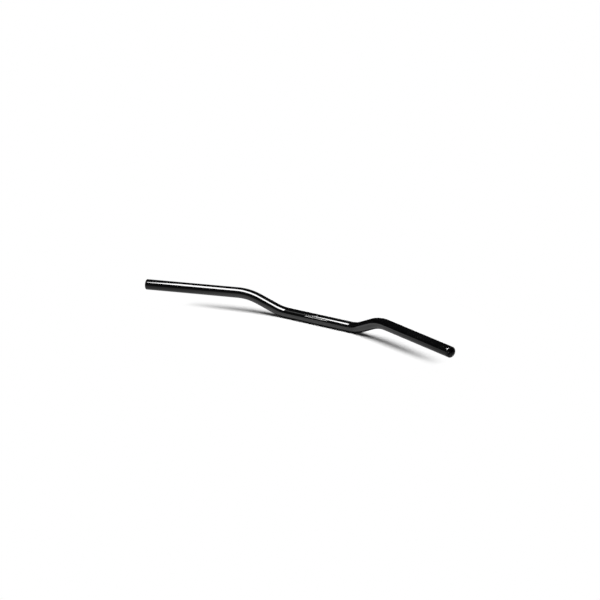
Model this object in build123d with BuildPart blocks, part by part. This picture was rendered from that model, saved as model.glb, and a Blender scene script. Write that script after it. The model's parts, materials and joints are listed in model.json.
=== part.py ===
"""Motorcycle handlebar: a bent steel tube with a rubber-mounted damping weight locked inside each end.

Millimetres. The origin is the middle of the clamp seat, on its axis. +X runs along the clamp seat to the rider's
right, +Y points forward and +Z up. The grips sweep back, towards -Y.
"""

from build123d import *
import os

os.makedirs("parts", exist_ok=True)

# Bar: one tube, bent four times
tube_diameter = 22.2
tube_wall = 2.3
half_span = 390.0  # from the middle to the centre of each mouth
clamp_corner = 97.0  # where the clamp seat's axis and the riser's axis would meet
riser_corner = 168.5  # where the riser's axis and the grip's axis would meet
riser_setback = 21.0
riser_height = 30.5
mouth_setback = 91.5
mouth_height = 25.5
clamp_bend_radius = 68.0
grip_bend_radius = 119.0
rim_rounding = 0.8

# Retainer: a spring cup behind the mouth, locked by a button on its tongue
retainer_depth = 11.0  # from the mouth to the cup's face
retainer_sheet = 0.8
retainer_length = 14.0
button_diameter = 4.6
button_behind_face = 7.5
button_sink = 0.6  # below the tube's surface, so that a grip slides over it
tongue_width = 7.0
tongue_slit = 0.8

# Weight: a steel rod with a tapped nose and two necks for the cushions
weight_length = 112.0
cushion_space = 1.8  # between the weight and the bore
nose_step = 2.2
nose_proud = 1.2
nose_flat_depth = 0.9
tap_diameter = 5.0  # core of an M6 thread
tap_depth = 22.0
tap_countersink = 0.6
neck_depth = 1.6
neck_length = 15.0
outer_neck_from_shoulder = 18.0
inner_neck_from_tail = 10.0
weight_chamfer = 1.0

# Cushions: rubber rings with ribs that press on the bore
cushion_ribs = 3
rib_height = 1.4
rib_width = 2.8

# Fits
metal_clearance = 0.1
rubber_clearance = 0.05

tube_radius = tube_diameter / 2
bore_radius = tube_radius - tube_wall
weight_radius = bore_radius - cushion_space
nose_radius = weight_radius - nose_step
neck_radius = weight_radius - neck_depth
weight_face = retainer_depth - nose_proud
shoulder_depth = retainer_depth + retainer_sheet + metal_clearance
tail_depth = weight_face + weight_length
outer_neck_depth = shoulder_depth + outer_neck_from_shoulder
inner_neck_depth = tail_depth - inner_neck_from_tail - neck_length
button_depth = retainer_depth + button_behind_face
collar_radius = bore_radius - metal_clearance

sides = {"left": -1, "right": 1}


def grip_corner(side):
    """Where the riser's axis meets the grip's axis."""
    return Vector(side * riser_corner, -riser_setback, riser_height)


def mouth_plane(side):
    """The plane of the tube's mouth: z points out of the tube, and x points down."""
    mouth = Vector(side * half_span, -mouth_setback, mouth_height)
    outward = (mouth - grip_corner(side)).normalized()
    below = Vector(0, 0, -1)
    downward = (below - outward * below.dot(outward)).normalized()
    return Plane(origin=mouth, x_dir=downward, z_dir=outward)


def section_plane(side):
    """A lengthwise section: x is the depth inside the mouth, and y the distance from the grip's axis."""
    mouth = mouth_plane(side)
    inward = mouth.z_dir * -1
    return Plane(origin=mouth.origin, x_dir=inward, z_dir=inward.cross(mouth.x_dir))


def underside_plane(side):
    """Looks out of the tube's underside: x is the depth inside the mouth, and y runs across the tube."""
    mouth = mouth_plane(side)
    return Plane(origin=mouth.origin, x_dir=mouth.z_dir * -1, z_dir=mouth.x_dir)


def grip_axis(side):
    mouth = mouth_plane(side)
    return Axis(mouth.origin, mouth.z_dir)


def keep(part, name):
    part.label = name
    export_step(part, f"parts/{name}.step")


def make_weight(side):
    with BuildPart() as weight:
        with BuildSketch(section_plane(side)):
            with BuildLine():
                Polyline(
                    (weight_face, 0),
                    (weight_face, nose_radius),
                    (shoulder_depth, nose_radius),
                    (shoulder_depth, weight_radius),
                    (outer_neck_depth, weight_radius),
                    (outer_neck_depth, neck_radius),
                    (outer_neck_depth + neck_length, neck_radius),
                    (outer_neck_depth + neck_length, weight_radius),
                    (inner_neck_depth, weight_radius),
                    (inner_neck_depth, neck_radius),
                    (inner_neck_depth + neck_length, neck_radius),
                    (inner_neck_depth + neck_length, weight_radius),
                    (tail_depth - weight_chamfer, weight_radius),
                    (tail_depth, weight_radius - weight_chamfer),
                    (tail_depth, 0),
                    close=True,
                )
            make_face()
        revolve(axis=grip_axis(side))
        with BuildSketch(mouth_plane(side).offset(-weight_face)):
            with Locations((0, nose_radius), (0, -nose_radius)):
                Rectangle(2 * nose_radius, 2 * nose_flat_depth)
        extrude(amount=weight_face - shoulder_depth, mode=Mode.SUBTRACT)
        with Locations(mouth_plane(side).offset(-weight_face)):
            CounterSinkHole(tap_diameter / 2, tap_diameter / 2 + tap_countersink, depth=tap_depth)
    return weight.part


def make_cushion(side, neck_start):
    inner_radius = neck_radius + rubber_clearance
    rib_radius = bore_radius - rubber_clearance
    sleeve_radius = rib_radius - rib_height
    start = neck_start + rubber_clearance
    length = neck_length - 2 * rubber_clearance
    rib_pitch = (length - rib_width) / (cushion_ribs - 1)
    with BuildPart() as cushion:
        with BuildSketch(section_plane(side)):
            with Locations((start, inner_radius)):
                Rectangle(length, sleeve_radius - inner_radius, align=(Align.MIN, Align.MIN))
            for rib in range(cushion_ribs):
                rib_start = start + rib * rib_pitch
                with BuildLine():
                    Polyline(
                        (rib_start, sleeve_radius),
                        (rib_start, rib_radius - rib_width / 4),
                        (rib_start + rib_width / 4, rib_radius),
                        (rib_start + rib_width * 3 / 4, rib_radius),
                        (rib_start + rib_width, rib_radius - rib_width / 4),
                        (rib_start + rib_width, sleeve_radius),
                        close=True,
                    )
                make_face()
        revolve(axis=grip_axis(side))
    return cushion.part


def make_retainer(side):
    inside_radius = collar_radius - retainer_sheet
    slit_start = retainer_depth + retainer_sheet + tongue_slit
    slit_end = retainer_depth + retainer_length
    with BuildPart() as retainer:
        with BuildSketch(mouth_plane(side).offset(-retainer_depth)):
            Circle(collar_radius)
            with BuildSketch(mode=Mode.SUBTRACT):
                Circle(nose_radius + metal_clearance)
                flat_distance = nose_radius - nose_flat_depth + metal_clearance
                Rectangle(2 * tube_radius, 2 * flat_distance, mode=Mode.INTERSECT)
        extrude(amount=-retainer_sheet)
        with BuildSketch(mouth_plane(side).offset(-retainer_depth)):
            Circle(collar_radius)
            Circle(inside_radius, mode=Mode.SUBTRACT)
        extrude(amount=-retainer_length)
        with BuildSketch(underside_plane(side)):
            for edge in (-1, 1):
                with Locations((slit_start, edge * (tongue_width + tongue_slit) / 2)):
                    Rectangle(slit_end - slit_start, tongue_slit, align=(Align.MIN, Align.CENTER))
        extrude(amount=tube_radius, mode=Mode.SUBTRACT)
        with BuildSketch(underside_plane(side).offset(inside_radius)):
            with Locations((button_depth, 0)):
                Circle(button_diameter / 2)
        extrude(amount=tube_radius - button_sink - inside_radius)
    return retainer.part


# The bent tube
corners = [
    mouth_plane(-1).origin,
    grip_corner(-1),
    Vector(-clamp_corner, 0, 0),
    Vector(clamp_corner, 0, 0),
    grip_corner(1),
    mouth_plane(1).origin,
]
with BuildPart() as bar_tube:
    with BuildLine() as centre_line:
        FilletPolyline(corners, radius=[grip_bend_radius, clamp_bend_radius, clamp_bend_radius, grip_bend_radius])
    with BuildSketch(mouth_plane(-1)):
        Circle(tube_radius)
        Circle(bore_radius, mode=Mode.SUBTRACT)
    sweep()
    for side in sides.values():
        rims = bar_tube.edges().filter_by(GeomType.CIRCLE).sort_by_distance(mouth_plane(side).origin)[:2]
        fillet(rims, rim_rounding)
        with BuildSketch(underside_plane(side)):
            with Locations((button_depth, 0)):
                Circle(button_diameter / 2 + metal_clearance)
        extrude(amount=2 * tube_radius, mode=Mode.SUBTRACT)
keep(bar_tube.part, "bar_tube")

# What each end holds
for name, side in sides.items():
    keep(make_weight(side), f"inner_weight_{name}")
    keep(make_cushion(side, outer_neck_depth), f"outer_cushion_{name}")
    keep(make_cushion(side, inner_neck_depth), f"inner_cushion_{name}")
    keep(make_retainer(side), f"weight_retainer_{name}")
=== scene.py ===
import json
import math

import bmesh
import bpy
from mathutils import Matrix, Vector


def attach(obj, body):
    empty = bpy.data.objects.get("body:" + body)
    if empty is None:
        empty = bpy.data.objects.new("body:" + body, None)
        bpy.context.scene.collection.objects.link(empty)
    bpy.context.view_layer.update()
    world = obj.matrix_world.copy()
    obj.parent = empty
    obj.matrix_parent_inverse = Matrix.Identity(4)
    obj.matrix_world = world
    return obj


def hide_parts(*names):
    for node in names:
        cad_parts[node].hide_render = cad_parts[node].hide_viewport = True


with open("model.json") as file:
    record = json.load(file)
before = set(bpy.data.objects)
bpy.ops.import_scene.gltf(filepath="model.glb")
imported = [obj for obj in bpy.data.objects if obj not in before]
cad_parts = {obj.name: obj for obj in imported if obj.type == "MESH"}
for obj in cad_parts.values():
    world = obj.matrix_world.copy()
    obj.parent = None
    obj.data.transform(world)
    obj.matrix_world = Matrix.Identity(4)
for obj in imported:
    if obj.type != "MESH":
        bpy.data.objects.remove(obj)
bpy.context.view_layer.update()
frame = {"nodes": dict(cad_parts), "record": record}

nodes = frame["nodes"]
mounts = {mount["name"]: mount for mount in frame["record"]["mounts"]}


# ---- Bar tube ----------------------------------------------------------------------------------------------
# One length of drawn steel tube, bent four times on a mandrel bender: a straight clamp seat, two short risers
# and two straight grip sections. The cut ends are rounded, a hole is drilled under each for the retainer's
# button, and the tube is enamelled gloss black.

tube_radius = mounts["clamp_seat"]["dims"]["r_mm"] / 1000
tube_wall = 0.0023
clamp_corner = Vector((0.097, 0, 0))
riser_corner = Vector((0.1685, -0.021, 0.0305))
mouth_centre = Vector((0.390, -0.0915, 0.0255))
clamp_bend_radius = 0.068
grip_bend_radius = 0.119
rim_rounding = 0.0008
tube_sides = 96
grip_rings = 40
bend_rings = 28
riser_rings = 8
half_seat_rings = 16
rim_segments = 5
touching = 1e-6  # points nearer than this count as one
square_edge = math.radians(60)
crease_angle = math.radians(40)
grip_heading = Vector(mounts["grip_seat_right"]["axis"]).normalized()


def run_straight(bm, ring, travel, steps):
    """Draws a ring of edges out along a straight line and gives the ring at its end."""
    for _ in range(steps):
        made = bmesh.ops.extrude_edge_only(bm, edges=ring)["geom"]
        ring = [part for part in made if isinstance(part, bmesh.types.BMEdge)
                and all(v in made for v in part.verts) and len(part.link_faces) == 1]
        verts = list({v for edge in ring for v in edge.verts})
        bmesh.ops.translate(bm, verts=verts, vec=travel / steps)
    return ring


def bend_round(bm, ring, start, heading, new_heading, radius, steps):
    """Spins a ring of edges round a bend that turns one heading into the next."""
    inside = (new_heading - heading * heading.dot(new_heading)).normalized()
    swing = bmesh.ops.spin(
        bm, geom=ring, cent=start + inside * radius, axis=heading.cross(new_heading).normalized(),
        dvec=(0, 0, 0), angle=heading.angle(new_heading), steps=steps, use_duplicate=False,
    )
    return [part for part in swing["geom_last"] if isinstance(part, bmesh.types.BMEdge)]


def mouth_matrix(side):
    """Sits in the mouth with z out of the tube and x down, as the solids' own mouth plane does."""
    outward = Vector((side * grip_heading.x, grip_heading.y, grip_heading.z))
    below = Vector((0, 0, -1))
    downward = (below - outward * below.dot(outward)).normalized()
    turn = Matrix((downward, outward.cross(downward), outward)).transposed().to_4x4()
    return Matrix.Translation((side * mouth_centre.x, mouth_centre.y, mouth_centre.z)) @ turn


def finished_object(bm, name):
    mesh = bpy.data.meshes.new(name)
    bm.to_mesh(mesh)
    bm.free()
    made = bpy.data.objects.new(name, mesh)
    bpy.context.scene.collection.objects.link(made)
    return made


riser_heading = (clamp_corner - riser_corner).normalized()
inward = -grip_heading
seat_heading = Vector((-1, 0, 0))
grip_tangent = grip_bend_radius * math.tan(inward.angle(riser_heading) / 2)
clamp_tangent = clamp_bend_radius * math.tan(riser_heading.angle(seat_heading) / 2)
grip_bend_start = riser_corner - inward * grip_tangent
clamp_bend_start = clamp_corner - riser_heading * clamp_tangent
riser_start = riser_corner + riser_heading * grip_tangent

bm = bmesh.new()
bmesh.ops.create_circle(bm, segments=tube_sides, radius=tube_radius, matrix=mouth_matrix(1))
ring = run_straight(bm, bm.edges[:], grip_bend_start - mouth_centre, grip_rings)
ring = bend_round(bm, ring, grip_bend_start, inward, riser_heading, grip_bend_radius, bend_rings)
ring = run_straight(bm, ring, clamp_bend_start - riser_start, riser_rings)
ring = bend_round(bm, ring, clamp_bend_start, riser_heading, seat_heading, clamp_bend_radius, bend_rings)
run_straight(bm, ring, Vector((clamp_tangent - clamp_corner.x, 0, 0)), half_seat_rings)
bmesh.ops.mirror(bm, geom=bm.verts[:] + bm.edges[:] + bm.faces[:], axis="X", merge_dist=touching)
bmesh.ops.remove_doubles(bm, verts=bm.verts[:], dist=touching)
bmesh.ops.recalc_face_normals(bm, faces=bm.faces[:])
outside = set(bm.faces[:])
bmesh.ops.solidify(bm, geom=bm.faces[:], thickness=tube_wall)
into_mouth = mouth_matrix(1).inverted()


def lies_in_mouth(vert):
    """True for a vertex in the plane of either mouth."""
    mirrored = Vector((abs(vert.co.x), vert.co.y, vert.co.z))
    return abs((into_mouth @ mirrored).z) < touching


for face in bm.faces:
    if face not in outside and not all(lies_in_mouth(v) for v in face.verts):
        face.material_index = 1  # bore steel
rims = [edge for edge in bm.edges if all(lies_in_mouth(v) for v in edge.verts)
        and edge.calc_face_angle(0) > square_edge]
bmesh.ops.bevel(bm, geom=rims, offset=rim_rounding, offset_type="OFFSET", affect="EDGES",
                segments=rim_segments, profile=0.5, material=-1, clamp_overlap=True)
bar = finished_object(bm, "painted_bar")


def new_material(name):
    """An empty node material with its shader wired to its output."""
    made = bpy.data.materials.new(name)
    made.use_nodes = True
    made.node_tree.nodes.clear()
    output = made.node_tree.nodes.new("ShaderNodeOutputMaterial")
    shader = made.node_tree.nodes.new("ShaderNodeBsdfPrincipled")
    made.node_tree.links.new(shader.outputs["BSDF"], output.inputs["Surface"])
    return made, made.node_tree, shader


def add_node(tree, kind, **settings):
    """Adds a shader node. A setting such as in_0 or in_Scale sets or wires that input."""
    made = tree.nodes.new("ShaderNode" + kind)
    for key, value in settings.items():
        if not key.startswith("in_"):
            setattr(made, key, value)
    for key, value in settings.items():
        if key.startswith("in_"):
            name = key[3:].replace("_", " ")
            socket = made.inputs[int(name)] if name.isdigit() else made.inputs[name]
            if isinstance(value, bpy.types.NodeSocket):
                tree.links.new(value, socket)
            else:
                socket.default_value = value
    return made


def math_node(tree, operation, *values):
    wired = {f"in_{place}": value for place, value in enumerate(values)}
    return add_node(tree, "Math", operation=operation, **wired).outputs[0]


def noise(tree, coordinates, scale, detail=2.0, roughness=0.5):
    return add_node(tree, "TexNoise", in_Vector=coordinates, in_Scale=scale, in_Detail=detail,
                    in_Roughness=roughness).outputs["Fac"]


def remap(tree, value, low, high, new_low=0.0, new_high=1.0, ease="LINEAR"):
    return add_node(tree, "MapRange", interpolation_type=ease, in_Value=value, in_1=low, in_2=high,
                    in_3=new_low, in_4=new_high).outputs["Result"]


def blend_colours(tree, mask, first, second):
    mixed = add_node(tree, "Mix", data_type="RGBA", in_0=mask, in_6=first, in_7=second)
    return mixed.outputs[2]


def stretch(tree, coordinates, across, down, along):
    """Coordinates scaled unevenly, for a grain that runs one way."""
    return add_node(tree, "VectorMath", operation="MULTIPLY", in_0=coordinates,
                    in_1=(across, down, along)).outputs[0]


def bumped(tree, shader, height, strength, distance):
    bump = add_node(tree, "Bump", in_Strength=strength, in_Distance=distance, in_Height=height)
    tree.links.new(bump.outputs["Normal"], shader.inputs["Normal"])


def new_group(name, inputs, outputs):
    """A node group with its own sockets. Gives the group, its inputs' node and its outputs' node."""
    group = bpy.data.node_groups.new(name, "ShaderNodeTree")
    for socket, kind, value in inputs:
        made = group.interface.new_socket(socket, in_out="INPUT", socket_type="NodeSocket" + kind)
        if value is not None:
            made.default_value = value
    for socket, kind in outputs:
        group.interface.new_socket(socket, in_out="OUTPUT", socket_type="NodeSocket" + kind)
    return group, group.nodes.new("NodeGroupInput"), group.nodes.new("NodeGroupOutput")


def place_group(tree, group, **inputs):
    made = tree.nodes.new("ShaderNodeGroup")
    made.node_tree = group
    for name, value in inputs.items():
        socket = made.inputs[name.replace("_", " ")]
        if isinstance(value, bpy.types.NodeSocket):
            tree.links.new(value, socket)
        else:
            socket.default_value = value
    return made.outputs


# Both ends are alike, so a grain on either one reads its place from the right-hand mouth, with x down and z out
# of the tube.
mouth_place, given, result = new_group("mouth_place", [("Place", "Vector", None)], [("Mouth Place", "Vector")])
parts = add_node(mouth_place, "SeparateXYZ", in_0=given.outputs["Place"])
right_x = math_node(mouth_place, "ABSOLUTE", parts.outputs[0])
right_side = add_node(mouth_place, "CombineXYZ", in_0=right_x, in_1=parts.outputs[1], in_2=parts.outputs[2])
turned = add_node(mouth_place, "Mapping", in_Vector=right_side.outputs[0],
                  in_Location=into_mouth.to_translation(), in_Rotation=into_mouth.to_euler())
mouth_place.links.new(turned.outputs[0], result.inputs["Mouth Place"])


def place_in_mouth(tree):
    """The shaded point, read on the axes of its own mouth."""
    return place_group(tree, mouth_place, Place=add_node(tree, "TexCoord").outputs["Object"])[0]


# Finger marks and a thin film of dust: a soft patchy mask, and small sharp specks.
handling, given, result = new_group(
    "handling", [("Place", "Vector", None), ("Patch Scale", "Float", 25.0), ("Speck Scale", "Float", 900.0)],
    [("Smears", "Float"), ("Specks", "Float")])
patches = noise(handling, given.outputs["Place"], given.outputs["Patch Scale"], detail=4.0, roughness=0.6)
smears = remap(handling, patches, 0.42, 0.68, ease="SMOOTHSTEP")
dots = add_node(handling, "TexVoronoi", feature="F1", in_Vector=given.outputs["Place"],
                in_Scale=given.outputs["Speck Scale"])
dot_size = remap(handling, patches, 0.5, 0.75, 0.04, 0.16)
specks = math_node(handling, "LESS_THAN", dots.outputs["Distance"], dot_size)
handling.links.new(smears, result.inputs["Smears"])
handling.links.new(specks, result.inputs["Specks"])

# Gloss black stove enamel, with the slight orange peel of a sprayed coat. It thins over the rims.
enamel_black = (0.0030, 0.0030, 0.0032, 1)
fingered_black = (0.0044, 0.0044, 0.0046, 1)
dust_grey = (0.030, 0.029, 0.028, 1)
thin_coat_black = (0.012, 0.0115, 0.011, 1)
thin_coat_begins, thin_coat_full = 0.0014, 0.0001  # inside the mouth
polished, fingered = 0.045, 0.085
dust_dulls, thin_coat_dulls = 0.22, 0.10
peel_scale, fine_peel_scale = 380, 1300
peel_depth = 0.00001
gloss_black, tree, shader = new_material("gloss_black_enamel")
place = add_node(tree, "TexCoord").outputs["Object"]
marks = place_group(tree, handling, Place=place, Patch_Scale=22.0, Speck_Scale=1400.0)
in_mouth = add_node(tree, "SeparateXYZ", in_0=place_group(tree, mouth_place, Place=place)[0]).outputs[2]
thin_coat = remap(tree, in_mouth, -thin_coat_begins, -thin_coat_full, ease="SMOOTHSTEP")
thin_coat = math_node(tree, "MULTIPLY", thin_coat, remap(tree, noise(tree, place, 600), 0.35, 0.65))
enamel = blend_colours(tree, marks["Smears"], enamel_black, fingered_black)
enamel = blend_colours(tree, marks["Specks"], enamel, dust_grey)
enamel = blend_colours(tree, thin_coat, enamel, thin_coat_black)
polish = remap(tree, marks["Smears"], 0.0, 1.0, polished, fingered)
polish = math_node(tree, "MULTIPLY_ADD", marks["Specks"], dust_dulls, polish)
polish = math_node(tree, "MULTIPLY_ADD", thin_coat, thin_coat_dulls, polish)

# Printed on the clamp seat: a plain scale of light grey lines, 5 mm apart, for centring the bar in its clamps.
scale_reach = 0.0285
line_spacing = 0.005
line_half_width = 0.0003
line_blur = 0.00006
scale_foot, short_line, long_line, centre_line = (math.radians(angle) for angle in (25, 38, 50, 62))
ink_grey = (0.60, 0.60, 0.59, 1)
ink_dulls = 0.30
ink_wear_scale = 2200
parts = add_node(tree, "SeparateXYZ", in_0=place)
along = parts.outputs[0]
facing = math_node(tree, "MULTIPLY", parts.outputs[1], -1.0)
angle_up = math_node(tree, "ARCTAN2", parts.outputs[2], facing)


def printed_lines(spacing, top):
    """Lines across the seat, one at each multiple of the spacing, from the scale's foot up to an angle."""
    gap = math_node(tree, "PINGPONG", along, spacing / 2)
    line = remap(tree, gap, line_half_width - line_blur, line_half_width + line_blur, 1.0, 0.0)
    return math_node(tree, "MULTIPLY", line, math_node(tree, "LESS_THAN", angle_up, top))


distance_out = math_node(tree, "ABSOLUTE", along)
centre_mark = remap(tree, distance_out, line_half_width, line_half_width + line_blur, 1.0, 0.0)
centre_mark = math_node(tree, "MULTIPLY", centre_mark, math_node(tree, "LESS_THAN", angle_up, centre_line))
foot_line = math_node(tree, "LESS_THAN", angle_up, scale_foot + 2 * line_half_width / tube_radius)
lines = math_node(tree, "MAXIMUM", printed_lines(line_spacing, short_line),
                  printed_lines(2 * line_spacing, long_line))
lines = math_node(tree, "MAXIMUM", lines, math_node(tree, "MAXIMUM", centre_mark, foot_line))
above_foot = math_node(tree, "GREATER_THAN", angle_up, scale_foot)
within_reach = math_node(tree, "LESS_THAN", distance_out, scale_reach + line_half_width)
ink = math_node(tree, "MULTIPLY", lines, math_node(tree, "MULTIPLY", above_foot, within_reach))
worn_ink = remap(tree, noise(tree, place, ink_wear_scale, detail=3.0), 0.30, 0.42)
ink = math_node(tree, "MULTIPLY", ink, worn_ink)
tree.links.new(blend_colours(tree, ink, enamel, ink_grey), shader.inputs["Base Color"])
tree.links.new(math_node(tree, "MULTIPLY_ADD", ink, ink_dulls, polish), shader.inputs["Roughness"])
peel = noise(tree, place, peel_scale, detail=1.0)
peel = math_node(tree, "MULTIPLY_ADD", noise(tree, place, fine_peel_scale), 0.25, peel)
peel = math_node(tree, "MULTIPLY_ADD", ink, 0.5, peel)
bumped(tree, shader, peel, 0.5, peel_depth)

# Inside, the paint only reaches as far as the spray did. Beyond it is drawn steel, with die lines and a little
# rust.
steel_dark = (0.10, 0.095, 0.09, 1)
steel_light = (0.19, 0.18, 0.17, 1)
rust_brown = (0.085, 0.036, 0.016, 1)
overspray_black = (0.006, 0.006, 0.006, 1)
spray_full, spray_end = 0.004, 0.012  # inside the mouth
rust_dulls = 0.30
die_line_depth = 0.00003
bore_steel, tree, shader = new_material("bore_steel")
place = place_in_mouth(tree)
depth = add_node(tree, "SeparateXYZ", in_0=place).outputs[2]
ragged = math_node(tree, "MULTIPLY_ADD", noise(tree, place, 160, detail=4.0), 0.010, depth)
overspray = remap(tree, ragged, -spray_end, -spray_full, ease="SMOOTHSTEP")
die_lines = noise(tree, stretch(tree, place, 1500, 1500, 25), 1.0, detail=3.0)
rust = remap(tree, noise(tree, place, 110, detail=5.0, roughness=0.65), 0.52, 0.70)
steel = blend_colours(tree, die_lines, steel_dark, steel_light)
steel = blend_colours(tree, rust, steel, rust_brown)
tree.links.new(blend_colours(tree, overspray, steel, overspray_black), shader.inputs["Base Color"])
bare = math_node(tree, "SUBTRACT", 1.0, math_node(tree, "MAXIMUM", overspray, rust))
tree.links.new(bare, shader.inputs["Metallic"])
drawn_finish = remap(tree, die_lines, 0.3, 0.7, 0.38, 0.55)
tree.links.new(math_node(tree, "MULTIPLY_ADD", rust, rust_dulls, drawn_finish), shader.inputs["Roughness"])
bumped(tree, shader, math_node(tree, "MULTIPLY_ADD", rust, 0.6, die_lines), 0.6, die_line_depth)

bar.data.materials.append(gloss_black)
bar.data.materials.append(bore_steel)

# The retainer's button shows in this hole, drilled through the underside of each grip section. The cut leaves a
# few edges of no length, which are dissolved.
button_depth = 0.0185
locking_hole_radius = 0.0024
locking_hole_sides = 40
bm = bmesh.new()
for side in (-1, 1):
    under_tube = mouth_matrix(side) @ Matrix.Translation((tube_radius, 0, -button_depth))
    bmesh.ops.create_cone(bm, cap_ends=True, segments=locking_hole_sides, radius1=locking_hole_radius,
                          radius2=locking_hole_radius, depth=tube_radius,
                          matrix=under_tube @ Matrix.Rotation(math.radians(90), 4, "Y"))
drills = finished_object(bm, "drills")
cut = bar.modifiers.new("locking_holes", "BOOLEAN")
cut.object = drills
cut.solver = "EXACT"
bpy.context.view_layer.update()
drilled = bpy.data.meshes.new_from_object(bar.evaluated_get(bpy.context.evaluated_depsgraph_get()))
bar.modifiers.clear()
bpy.data.objects.remove(drills)
bm = bmesh.new()
bm.from_mesh(drilled)
bmesh.ops.dissolve_degenerate(bm, dist=touching, edges=bm.edges[:])
bm.to_mesh(drilled)
bm.free()
bar.data = drilled
bar.data.shade_smooth()
bar.data.set_sharp_from_angle(angle=crease_angle)
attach(bar, "root")
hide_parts("bar_tube")


# ---- Inner weights -----------------------------------------------------------------------------------------
# A steel rod in each end damps the grips. It is turned from bar, tapped M6 in its nose for a bar-end weight,
# given two necks for its cushions, and blackened in oil. Two flats on the nose stop it turning in the retainer.

weight_names = ("inner_weight_left", "inner_weight_right")
blacking_dark = (0.030, 0.030, 0.033, 1)
blacking_light = (0.070, 0.068, 0.066, 1)
oil_film = (0.022, 0.020, 0.018, 1)
metal_dust = (0.12, 0.11, 0.10, 1)
rings_per_metre = 2600
tool_mark_depth = 0.00003


def lathe_place(tree):
    """Gives the point in the mouth, its reach out of the tube and its distance from the grip's axis."""
    place = place_in_mouth(tree)
    parts = add_node(tree, "SeparateXYZ", in_0=place)
    flat = add_node(tree, "CombineXYZ", in_0=parts.outputs[0], in_1=parts.outputs[1])
    distance = add_node(tree, "VectorMath", operation="LENGTH", in_0=flat.outputs[0]).outputs["Value"]
    return place, parts.outputs[2], distance


weight_steel, tree, shader = new_material("blackened_turned_steel")
place, out_of_tube, from_axis = lathe_place(tree)
rings = add_node(tree, "CombineXYZ", in_0=math_node(tree, "MULTIPLY", from_axis, rings_per_metre),
                 in_2=math_node(tree, "MULTIPLY", out_of_tube, rings_per_metre))
tool_marks = noise(tree, rings.outputs[0], 1.0, detail=2.0)
marks = place_group(tree, handling, Place=place, Patch_Scale=120.0, Speck_Scale=2500.0)
blacking = blend_colours(tree, tool_marks, blacking_dark, blacking_light)
oiled = blend_colours(tree, marks["Smears"], blacking, oil_film)
tree.links.new(blend_colours(tree, marks["Specks"], oiled, metal_dust), shader.inputs["Base Color"])
shader.inputs["Metallic"].default_value = 0.85
tree.links.new(remap(tree, tool_marks, 0.3, 0.7, 0.30, 0.50), shader.inputs["Roughness"])
bumped(tree, shader, tool_marks, 0.7, tool_mark_depth)
for name in weight_names:
    nodes[name].material_slots[0].material = weight_steel


# ---- Cushions ----------------------------------------------------------------------------------------------
# Two moulded rubber rings stretch over each weight's necks. Three rounded ribs on each press on the bore, so
# that the weight is held clear of the steel.

bore_radius = tube_radius - tube_wall
cushion_space = 0.0018  # between the weight and the bore
neck_cut = 0.0016
rubber_clearance = 0.00005
cushion_radius = bore_radius - rubber_clearance
cushion_inside = bore_radius - cushion_space - neck_cut + rubber_clearance
neck_length = 0.015
cushion_length = neck_length - 2 * rubber_clearance
outer_cushion_depth = 0.0299 + rubber_clearance
inner_cushion_depth = 0.0968 + rubber_clearance
rib_count = 3
rib_height = 0.0014
rib_width = 0.0028
rib_slope = 0.22  # as a share of the rib's width
rib_edge_rounding = 0.0003
rib_edge_segments = 3
cushion_sides = 72
cushion_crease_angle = math.radians(50)
rubber_dark = (0.014, 0.014, 0.014, 1)
rubber_light = (0.024, 0.023, 0.023, 1)
talc_grey = (0.11, 0.11, 0.105, 1)
rubber_dust = (0.07, 0.068, 0.065, 1)
rubber_grain_depth = 0.00004

moulded_rubber, tree, shader = new_material("moulded_rubber")
place, _, from_axis = lathe_place(tree)
marks = place_group(tree, handling, Place=place, Patch_Scale=150.0, Speck_Scale=3000.0)
grain = noise(tree, place, 3500, detail=3.0)
talc = remap(tree, from_axis, cushion_radius - rib_height * 1.2, cushion_radius - rib_height * 0.6, 0.8, 0.0)
talc = math_node(tree, "MULTIPLY", talc, marks["Smears"])
rubber = blend_colours(tree, grain, rubber_dark, rubber_light)
rubber = blend_colours(tree, talc, rubber, talc_grey)
tree.links.new(blend_colours(tree, marks["Specks"], rubber, rubber_dust), shader.inputs["Base Color"])
tree.links.new(remap(tree, marks["Smears"], 0.0, 1.0, 0.58, 0.80), shader.inputs["Roughness"])
bumped(tree, shader, grain, 0.6, rubber_grain_depth)


def make_cushion(name, side, depth):
    """Rounds the edges of a ribbed ring's outline, then spins it round the grip's axis."""
    bm = bmesh.new()
    root_radius = cushion_radius - rib_height
    rib_pitch = (cushion_length - rib_width) / (rib_count - 1)
    outline = [(0, cushion_inside)]
    for rib in range(rib_count):
        start = rib * rib_pitch
        outline += [(start, root_radius), (start + rib_width * rib_slope, cushion_radius),
                    (start + rib_width * (1 - rib_slope), cushion_radius), (start + rib_width, root_radius)]
    outline += [(cushion_length, cushion_inside)]
    verts = [bm.verts.new((radius, 0, -depth - reach)) for reach, radius in outline]
    for first, second in zip(verts, verts[1:] + verts[:1]):
        bm.edges.new((first, second))
    bmesh.ops.bevel(bm, geom=verts[1:-1], offset=rib_edge_rounding, offset_type="OFFSET", affect="VERTICES",
                    segments=rib_edge_segments, profile=0.5, material=-1, clamp_overlap=True)
    bmesh.ops.spin(bm, geom=bm.verts[:] + bm.edges[:], cent=(0, 0, 0), axis=(0, 0, 1), dvec=(0, 0, 0),
                   angle=2 * math.pi, steps=cushion_sides, use_merge=True)
    bmesh.ops.transform(bm, matrix=mouth_matrix(side), verts=bm.verts[:])
    bmesh.ops.recalc_face_normals(bm, faces=bm.faces[:])
    made = finished_object(bm, f"{name}_rubber")
    made.data.shade_smooth()
    made.data.set_sharp_from_angle(angle=cushion_crease_angle)
    made.data.materials.append(moulded_rubber)
    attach(made, "root")
    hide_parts(name)


for name, side in (("left", -1), ("right", 1)):
    make_cushion(f"outer_cushion_{name}", side, outer_cushion_depth)
    make_cushion(f"inner_cushion_{name}", side, inner_cushion_depth)


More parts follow.
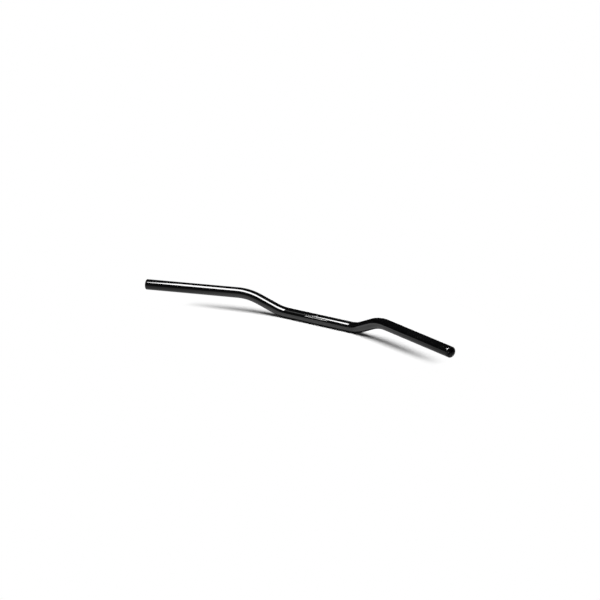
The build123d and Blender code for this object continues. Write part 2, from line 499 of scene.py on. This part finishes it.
# ---- Retainers ---------------------------------------------------------------------------------------------
# A cup pressed from spring steel and blued. It snaps into the tube ahead of the weight's shoulder, and the
# button on its tongue locks in the hole under the grip.

retainer_names = ("weight_retainer_left", "weight_retainer_right")
temper_blue = (0.030, 0.038, 0.065, 1)
temper_brown = (0.060, 0.050, 0.060, 1)
rolled_blue = (0.10, 0.11, 0.14, 1)
spring_dust = (0.16, 0.15, 0.14, 1)
rolling_depth = 0.00002

blued_spring, tree, shader = new_material("blued_spring_steel")
place = place_in_mouth(tree)
marks = place_group(tree, handling, Place=place, Patch_Scale=180.0, Speck_Scale=2600.0)
rolling = noise(tree, stretch(tree, place, 4000, 250, 4000), 1.0, detail=2.0)
temper = noise(tree, place, 90, detail=2.0)
blue = blend_colours(tree, remap(tree, temper, 0.35, 0.65), temper_blue, temper_brown)
blue = blend_colours(tree, remap(tree, rolling, 0.55, 0.75), blue, rolled_blue)
tree.links.new(blend_colours(tree, marks["Specks"], blue, spring_dust), shader.inputs["Base Color"])
shader.inputs["Metallic"].default_value = 0.9
tree.links.new(remap(tree, marks["Smears"], 0.0, 1.0, 0.26, 0.42), shader.inputs["Roughness"])
bumped(tree, shader, rolling, 0.4, rolling_depth)
for name in retainer_names:
    nodes[name].material_slots[0].material = blued_spring


# ---- Floor, light and camera -------------------------------------------------------------------------------
# A white floor and one large softbox over the left half of the bar, in an otherwise dark room. Only the floor
# near the bar shows the lamp's own light and the shadow. Further out it glows white to the camera, which paints
# out the ends of the shadow. In the enamel's reflections the floor carries painted shade.

floor_reach = 30.0
lit_middle = (0.019, 0, -tube_radius)
lit_radius, white_radius = 0.14, 0.338  # the lamp's own light fades out between them
paper_white = (0.95, 0.95, 0.95, 1)
glow_in_gloss = 0.6
glow_on_bar = 0.6
dimmed_at_right, level_at_right = 0.2, 0.5
dimming_begins, dimming_ends, level_far_off = 0.10, 0.35, 0.1
contact_begins, contact_ends = 0.6 * tube_radius, 1.4 * tube_radius
contact_shade, open_paper = 0.05, 0.95
bm = bmesh.new()
bmesh.ops.create_grid(bm, x_segments=1, y_segments=1, size=floor_reach,
                      matrix=Matrix.Translation((0, 0, -tube_radius)))
floor = finished_object(bm, "floor")
white_floor = bpy.data.materials.new("white_floor")
white_floor.use_nodes = True
tree = white_floor.node_tree
tree.nodes.clear()
place = add_node(tree, "TexCoord").outputs["Object"]
from_bar = add_node(tree, "VectorMath", operation="DISTANCE", in_0=place, in_1=lit_middle)
whitened = remap(tree, from_bar.outputs["Value"], lit_radius, white_radius)
far = math_node(tree, "MULTIPLY", whitened, whitened)
parts = add_node(tree, "SeparateXYZ", in_0=place)
light_path = add_node(tree, "LightPath")
shown_in_gloss = light_path.outputs["Is Glossy Ray"]
# Painted shade in what the enamel shows of the floor: in glossy rays it grows dimmer to the right and away from
# the clamp seat's line, and a painted contact shadow darkens it where the seat touches it. The far floor's glow
# in the enamel is dimmed the same way.
from_seat = math_node(tree, "ABSOLUTE", parts.outputs["Y"])
painted_shade_to_right = remap(tree, parts.outputs["X"], 0.0, dimmed_at_right, 1.0, level_at_right, ease="SMOOTHSTEP")
painted_shade_far_off = remap(tree, from_seat, dimming_begins, dimming_ends, 1.0, level_far_off, ease="SMOOTHSTEP")
painted_shade_in_gloss = math_node(tree, "MULTIPLY", painted_shade_to_right, painted_shade_far_off)
painted_far_reflection = math_node(tree, "MULTIPLY", painted_shade_in_gloss, glow_in_gloss)
painted_far_reflection = math_node(tree, "MULTIPLY", shown_in_gloss, painted_far_reflection)
glow = math_node(tree, "ADD", painted_far_reflection, light_path.outputs["Is Camera Ray"])
glow = math_node(tree, "MULTIPLY_ADD", light_path.outputs["Is Diffuse Ray"], glow_on_bar, glow)
far_floor = add_node(tree, "Emission", in_Color=(1, 1, 1, 1), in_Strength=glow)
# Painted contact shadow under the clamp seat, seen only in the enamel's reflection.
painted_contact_shadow = remap(tree, from_seat, contact_begins, contact_ends, contact_shade, open_paper,
                   ease="SMOOTHSTEP")
painted_shade_near_gloss = math_node(tree, "MULTIPLY", painted_shade_in_gloss, painted_contact_shadow)
# The near floor is paper white to the lamps and the camera, and takes the painted shade in glossy rays.
near_colour = blend_colours(tree, shown_in_gloss, paper_white, painted_shade_near_gloss)
near_floor = add_node(tree, "BsdfDiffuse", in_Color=near_colour)
paper = add_node(tree, "MixShader", in_0=far, in_1=near_floor.outputs[0], in_2=far_floor.outputs[0])
seen_from_below = add_node(tree, "NewGeometry").outputs["Backfacing"]
one_sided = add_node(tree, "MixShader", in_0=seen_from_below, in_1=paper.outputs[0],
                     in_2=add_node(tree, "BsdfTransparent").outputs[0])
add_node(tree, "OutputMaterial", in_Surface=one_sided.outputs[0])
floor.data.materials.append(white_floor)

# The room is white to the camera, nearly dark to the bar, and black in what the enamel shows.
room_level = 0.05
world = bpy.data.worlds.new("studio")
bpy.context.scene.world = world
world.use_nodes = True
tree = world.node_tree
tree.nodes.clear()
light_path = add_node(tree, "LightPath")
room_fill = math_node(tree, "MULTIPLY", light_path.outputs["Is Diffuse Ray"], room_level)
room_light = math_node(tree, "ADD", light_path.outputs["Is Camera Ray"], room_fill)
background = add_node(tree, "Background", in_Color=(1, 1, 1, 1), in_Strength=room_light)
add_node(tree, "OutputWorld", in_Surface=background.outputs[0])


def hang_lamp(name, kind, level, **settings):
    lamp = bpy.data.lights.new(name, kind)
    lamp.energy = level
    for setting, value in settings.items():
        setattr(lamp, setting, value)
    made = bpy.data.objects.new(name, lamp)
    made.visible_camera = False
    bpy.context.scene.collection.objects.link(made)
    return made


# The softbox's face is what the enamel shows. Its light on everything else comes from a broad sun, so that the
# floor is lit evenly.
face_length, face_width = 1.856, 0.517
face_watts = 78.7
face_turns = (8.5, -1.85, 0.86)  # degrees
sun_strength = 3.6
sun_breadth = math.radians(40)
sun_direction = Vector((0.30, -0.40, 1.0))
face = hang_lamp("softbox_face", "AREA", face_watts, shape="RECTANGLE", size=face_length, size_y=face_width)
face.location = (0.278, -0.449, 0.862)
face.rotation_euler = [math.radians(turn) for turn in face_turns]
face.visible_diffuse = False
light = hang_lamp("softbox_light", "SUN", sun_strength, angle=sun_breadth)
light.matrix_world = sun_direction.to_track_quat("Z", "Y").to_matrix().to_4x4()
light.visible_glossy = False

# Past the left end of the face, the enamel shows a dim strip of the softbox's lip.
lip_length, lip_width = 0.15, 0.30
lip_watts = 0.17
lip = hang_lamp("softbox_lip", "AREA", lip_watts, shape="RECTANGLE", size=lip_length, size_y=lip_width)
along_face = Vector((-(face_length + lip_length) / 2, 0, 0))
lip.location = face.location + face.rotation_euler.to_matrix() @ along_face
lip.rotation_euler = face.rotation_euler
lip.visible_diffuse = False

# The camera stands off to the right, a little above the bar, and leans by a degree.
view_azimuth = math.radians(37.78)
view_elevation = math.radians(14.79)
view_roll = math.radians(1.07)
view_distance = 4.758
lens_length = 139.1  # millimetres
sensor_width = 36
view_reach = 100
aim = Vector((-0.0373, -0.0160, 0.0387))
back = Vector((math.sin(view_azimuth) * math.cos(view_elevation),
               -math.cos(view_azimuth) * math.cos(view_elevation), math.sin(view_elevation)))
right = Vector((math.cos(view_azimuth), math.sin(view_azimuth), 0))
right = Matrix.Rotation(view_roll, 3, back) @ right
camera_data = bpy.data.cameras.new("camera")
camera_data.lens = lens_length
camera_data.sensor_width = sensor_width
camera_data.clip_end = view_reach
camera = bpy.data.objects.new("camera", camera_data)
turn = Matrix((right, back.cross(right), back)).transposed().to_4x4()
camera.matrix_world = Matrix.Translation(aim + back * view_distance) @ turn
bpy.context.scene.collection.objects.link(camera)
bpy.context.scene.camera = camera
bpy.context.scene.view_settings.view_transform = "Standard"
